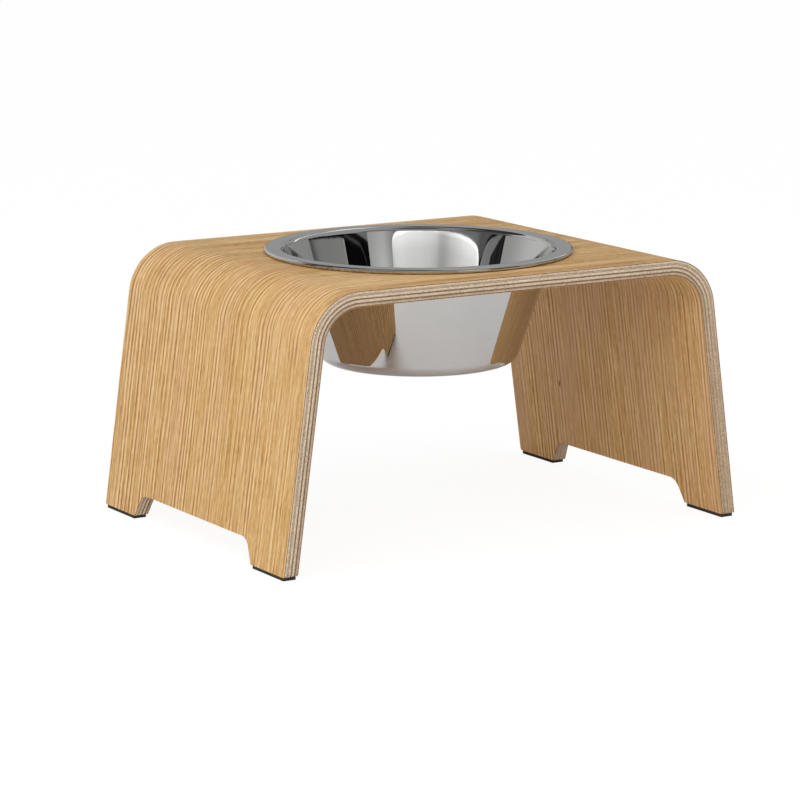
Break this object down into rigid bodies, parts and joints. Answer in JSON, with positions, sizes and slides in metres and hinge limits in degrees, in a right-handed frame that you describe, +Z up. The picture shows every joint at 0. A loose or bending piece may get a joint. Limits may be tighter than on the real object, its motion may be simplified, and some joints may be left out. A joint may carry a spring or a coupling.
{
  "type": "elevated dog feeder",
  "caption": "Bridge-shaped bent plywood pet feeding stand on rubber foot pads, with a tapered steel bowl that hangs by its rolled rim in a round hole and lifts out.",
  "frame": {"origin": "on the floor, under the middle of the stand and the bowl's axis", "axes": "+X from the left leg to the right leg, -Y to the front, +Z up along the bowl's axis"},
  "size_m": [0.406, 0.286, 0.2117],
  "materials": {
    "oak_veneer": "straight-grained oak, clear satin lacquer",
    "beech_long_grain": "sanded beech edge, long grain",
    "beech_cross_grain": "sanded beech edge, cross grain",
    "polished_steel": "polished stainless steel",
    "rubber": "matt black rubber",
    "adhesive": "acrylic adhesive film"
  },
  "bodies": {
    "stand": {"top_face_veneer": "oak_veneer", "core_ply_1": "beech_long_grain", "core_ply_2": "beech_cross_grain", "core_ply_3": "beech_long_grain", "core_ply_4": "beech_cross_grain", "core_ply_5": "beech_long_grain", "core_ply_6": "beech_cross_grain", "core_ply_7": "beech_long_grain", "under_face_veneer": "oak_veneer", "foot_pad_front_left": "rubber", "foot_pad_front_right": "rubber", "foot_pad_back_left": "rubber", "foot_pad_back_right": "rubber", "pad_adhesive_front_left": "adhesive", "pad_adhesive_front_right": "adhesive", "pad_adhesive_back_left": "adhesive", "pad_adhesive_back_right": "adhesive"},
    "bowl": {"feeding_bowl": "polished_steel"}
  },
  "joints": [
    {"name": "bowl_lift", "type": "slide", "parent": "stand", "child": "bowl", "axis": [0, 0, 1], "range_m": [0, 0.12]}
  ]
}
